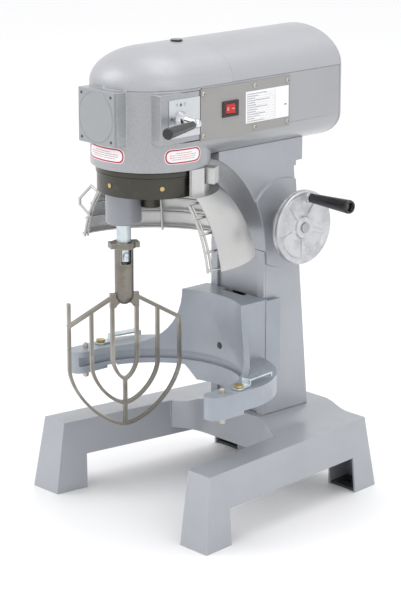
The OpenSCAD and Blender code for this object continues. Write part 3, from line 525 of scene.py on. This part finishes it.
def stadium(half_w, half_h, radius, steps=6, spacing=3 * MM):
    """Rounded rectangle, with its straight runs cut into short lengths."""
    points = []
    for corner, (su, sv) in enumerate([(1, 1), (-1, 1), (-1, -1), (1, -1)]):
        cu = su * (half_w - radius)
        cv = sv * (half_h - radius)
        for i in range(steps + 1):
            a = math.radians(90 * corner + 90 * i / steps)
            points.append((cu + radius * math.cos(a), cv + radius * math.sin(a)))
    dense = []
    for i, (u, v) in enumerate(points):
        next_u, next_v = points[(i + 1) % len(points)]
        count = max(1, round(math.dist((u, v), (next_u, next_v)) / spacing))
        dense += [(u + (next_u - u) * k / count, v + (next_v - v) * k / count) for k in range(count)]
    return dense


def round_label_print(name, angle, length):
    """Red border and red rules of a sticker that wraps the round nose and the flat side behind it."""
    radius = HEAD_R + PAPER_T + INK_LIFT
    middle = math.radians(angle)
    height = 506 * MM

    def on_nose(u, v, t):
        flat_run = (u + math.sin(middle) * radius) / max(math.cos(middle), 0.1)
        if flat_run > 0 and angle > -45:
            return Vector((radius + t, AXIS_Y + flat_run, height + v))
        a = middle + math.asin(u / radius)
        return Vector(((radius + t) * math.cos(a), AXIS_Y + (radius + t) * math.sin(a), height + v))

    border = Shapes(on_nose)
    half = length / 2 - 0.8 * MM
    half_h = 9.2 * MM
    line = 1.8 * MM
    outer = stadium(half, half_h, 7.4 * MM)
    inner = [(u * (1 - line / half), v * (1 - line / half_h)) for u, v in outer]
    border.band(outer, inner)
    piece(name + "_border", border.verts, border.faces, "red_ink", "frame")
    rules = Shapes(on_nose)
    draw = random.Random(len(name) + abs(angle))
    shortest, longest, gap, half_rule = 1.2, 4.2, 0.7, 0.32
    for row, share in ((4.1, 0.45), (1.4, 0.78), (-1.3, 0.78), (-4.0, 0.65)):
        limit = share * half / MM
        u = -limit
        while u < limit - shortest:
            end = min(u + draw.uniform(shortest, longest), limit)
            rules.bar(u * MM, end * MM, (row - half_rule) * MM, (row + half_rule) * MM)
            u = end + gap
    piece(name + "_rules", rules.verts, rules.faces, "red_ink", "frame")


def rating_plate_print():
    """Rows of thin rules on the white plate beside the switch."""
    _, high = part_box("labels")
    x = high.x + INK_LIFT
    front = AXIS_Y + 95 * MM
    top = 576 * MM
    table_right = 53 * MM
    row_pitch = 3.0

    def on_plate(u, v, t):
        return Vector((x + t, front + u, top - v))

    rules = Shapes(on_plate)
    draw = random.Random(7)
    for row in range(13):
        v = (3.2 + row * row_pitch) * MM
        rules.rectangle(2 * MM, table_right, v + 1.3 * MM, v + 1.45 * MM)
        u = 2.6
        limit = draw.uniform(14, 26) if row % 3 else draw.uniform(30, 48)
        while u < limit:
            end = u + draw.uniform(0.8, 2.6)
            rules.bar(u * MM, end * MM, v, v + 0.75 * MM)
            u = end + 0.6
    rules.bar(table_right, 53.2 * MM, 2 * MM, 40 * MM)
    rules.bar(70 * MM, 74 * MM, 24 * MM, 25.6 * MM)
    piece("rating_rules", rules.verts, rules.faces, "grey_ink", "frame")


def dial_marks():
    """Three drop marks with ticks on the plate behind the speed lever."""
    _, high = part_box("speed_plate")
    x = high.x + INK_LIFT
    cy = AXIS_Y - 18.5 * MM
    cz = 556 * MM

    def on_dial(u, v, t):
        return Vector((x + t, cy + u, cz + v))

    marks = Shapes(on_dial)
    for u0, v0, size in ((0, 17.5, 1.0), (-15.5, 0.5, 0.85), (0, -18.5, 1.0)):
        radius = 1.9 * size
        drop = []
        for i in range(16):
            a = math.radians(90 + 22.5 * i)
            tip = 1.9 if i == 0 else 1.0
            drop.append(((u0 + radius * math.cos(a)) * MM, (v0 + radius * tip * math.sin(a)) * MM))
        marks.patch(drop)
        # The drops above and below the lever have ticks beside them.
        if u0 == 0:
            for side in (-1, 1):
                for k in range(3):
                    left, right = sorted((side * (4.5 + 0.4 * k), side * (9.0 - 0.9 * k)))
                    v = v0 + 1.6 - 1.5 * k
                    marks.bar((u0 + left) * MM, (u0 + right) * MM, v * MM, (v + 0.5) * MM)
    near, far, half_tick = 11.6, 13.2, 0.18
    corners = ((near, -half_tick), (far, -half_tick), (far, half_tick), (near, half_tick))
    for i in range(-4, 5):
        a = math.radians(180 + i * 9)
        c, s = math.cos(a), math.sin(a)
        marks.patch([((r * c - w * s) * MM, (r * s + w * c) * MM) for r, w in corners])
    piece("dial_marks", marks.verts, marks.faces, "grey_ink", "frame")


def rocker_marks():
    """Zero and dash moulded in white on the two halves of the rocker."""
    low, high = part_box("switch_rocker")
    cy = AXIS_Y + 67 * MM
    cz = (low.z + high.z) / 2
    pivot_x = HEAD_R + PANEL_T - 4 * MM
    rocker_rise = 5.2 * MM
    high_slope = 1.6 / 7.4
    low_slope = 0.2 / 7.6

    def on_rocker(u, v, t):
        x = pivot_x + rocker_rise + u * (high_slope if u > 0 else low_slope)
        return Vector((x + 0.05 * MM + t, cy + u, cz + v))

    marks = Shapes(on_rocker)
    ring = [(math.cos(math.radians(a)), math.sin(math.radians(a))) for a in range(0, 360, 20)]
    zero_u = -4.2 * MM
    marks.band([(zero_u + 1.3 * MM * c, 2.3 * MM * s) for c, s in ring],
               [(zero_u + 0.8 * MM * c, 1.8 * MM * s) for c, s in ring])
    marks.bar(2.6 * MM, 5.6 * MM, -0.3 * MM, 0.3 * MM)
    piece("rocker_marks", marks.verts, marks.faces, "white_ink", "rocker")


def panel_screw_crosses():
    """Cross recesses drawn as dark inlays on the tops of the panel's pan-head screws: painted shade in place
    of the hollow of each recess.
    """
    head_x = HEAD_R + PANEL_T + PAN_SCREW_RISE
    out = Vector((1, 0, 0))
    up = Vector((0, 0, 1))
    side = out.cross(up).normalized()
    reach = 1.7 * MM
    half_slot = 0.28 * MM
    depth = 0.12 * MM
    centres = [Vector((head_x, y * MM, z * MM)) for y in (-75.5, 15.5, 75.0) for z in (527.5, 582.5)]
    verts = []
    faces = []
    for k, centre in enumerate(centres):
        turn = math.radians(20 + 53 * k)
        a = math.cos(turn) * side + math.sin(turn) * up
        b = -math.sin(turn) * side + math.cos(turn) * up
        cross = Shapes(lambda u, v, t: centre + u * a + v * b + out * t)
        cross.rectangle(-reach, reach, -half_slot, half_slot, depth)
        cross.rectangle(-half_slot, half_slot, -reach, reach, depth)
        faces += [[i + len(verts) for i in face] for face in cross.faces]
        verts += cross.verts
    # The dark inlays are painted shade for the recesses.
    piece("panel_screw_crosses", verts, faces, "black_screw_and_recess_shade", "frame")


def weld_bead(name, foot, top, radius, facing):
    """Lumpy bead of weld under paint, along a vertical corner."""
    rows = 26
    around = 10
    draw = random.Random(3)
    verts = []
    faces = []
    for i in range(rows + 1):
        t = i / rows
        centre = foot.lerp(top, t)
        swell = radius * (0.85 + 0.22 * math.sin(i * 2.1) + 0.12 * draw.uniform(-1, 1))
        if i in (0, rows):
            swell = radius * 0.3
        for k in range(around):
            a = 2 * math.pi * k / around
            spoke = Vector((swell * math.cos(a), swell * math.sin(a), 0))
            verts.append(centre + spoke + facing * draw.uniform(0, 0.3) * MM)
    for i in range(rows):
        for k in range(around):
            j = (k + 1) % around
            lower, upper = i * around, (i + 1) * around
            faces.append([lower + k, lower + j, upper + j, upper + k])
    faces.append(list(range(around - 1, -1, -1)))
    faces.append([rows * around + k for k in range(around)])
    made = piece(name, verts, faces, "base", "frame", True)
    soft = made.modifiers.new("round", "SUBSURF")
    soft.levels = 1
    soft.render_levels = 1


round_label_print("left_sticker", -92, 70 * MM)
round_label_print("right_sticker", -8, 54 * MM)
rating_plate_print()
dial_marks()
rocker_marks()
panel_screw_crosses()
# The beads run up the corners between the column and the base, in mm.
WELD_X = 107.0
WELD_Y = 32.2
WELD_Z = (62, 100.5)
for weld_side, weld_name in ((-1, "left_weld"), (1, "right_weld")):
    weld_foot, weld_top = (Vector((weld_side * WELD_X, WELD_Y, z)) * MM for z in WELD_Z)
    weld_bead(weld_name, weld_foot, weld_top, 2.3 * MM, Vector((-weld_side, -1, 0)))


# ---- floor, light and camera ----

def floor():
    size = 14.0
    level = cad_box[0][2]
    corners = [(-size, -size, level), (size, -size, level), (size, size, level), (-size, size, level)]
    mesh = bpy.data.meshes.new("floor")
    mesh.from_pydata(corners, [], [[0, 1, 2, 3]])
    mesh.materials.append(seamless_floor().mat)
    made = bpy.data.objects.new("floor", mesh)
    bpy.context.scene.collection.objects.link(made)


def aimed(obj, place, target):
    obj.location = place
    obj.rotation_euler = (Vector(target) - Vector(place)).to_track_quat("-Z", "Y").to_euler()
    bpy.context.scene.collection.objects.link(obj)


def softbox(name, place, target, size, power):
    light = bpy.data.lights.new(name, "AREA")
    light.shape = "RECTANGLE"
    light.size, light.size_y = size
    light.energy = power
    aimed(bpy.data.objects.new(name, light), place, target)


def studio():
    world = bpy.data.worlds.new("studio")
    world.use_nodes = True
    background = world.node_tree.nodes["Background"]
    background.inputs["Color"].default_value = (1.0, 1.0, 1.0, 1)
    background.inputs["Strength"].default_value = 1.0
    bpy.context.scene.world = world
    middle = (0, 0, 0.32)
    softbox("key", place=(-1.9, -2.3, 2.6), target=middle, size=(2.4, 2.0), power=34)
    softbox("fill", place=(3.0, -0.6, 1.9), target=middle, size=(2.2, 2.2), power=14)
    softbox("top", place=(0.3, 0.6, 3.2), target=middle, size=(2.6, 2.0), power=22)


def photo_camera():
    """Looks from the photograph's angle and distance, both from a camera model fitted to it."""
    azimuth = math.radians(47.807)
    elevation = math.radians(15.605)
    place = (2.2685, -2.06385, 1.1340)
    back = Vector((math.sin(azimuth) * math.cos(elevation),
                   -math.cos(azimuth) * math.cos(elevation),
                   math.sin(elevation)))
    data = bpy.data.cameras.new("camera")
    data.lens = 140.05
    data.sensor_width = 36
    camera = bpy.data.objects.new("camera", data)
    camera.location = place
    camera.rotation_euler = (-back).to_track_quat("-Z", "Y").to_euler()
    bpy.context.scene.collection.objects.link(camera)
    bpy.context.scene.camera = camera


floor()
studio()
photo_camera()
bpy.context.scene.view_settings.view_transform = "Standard"
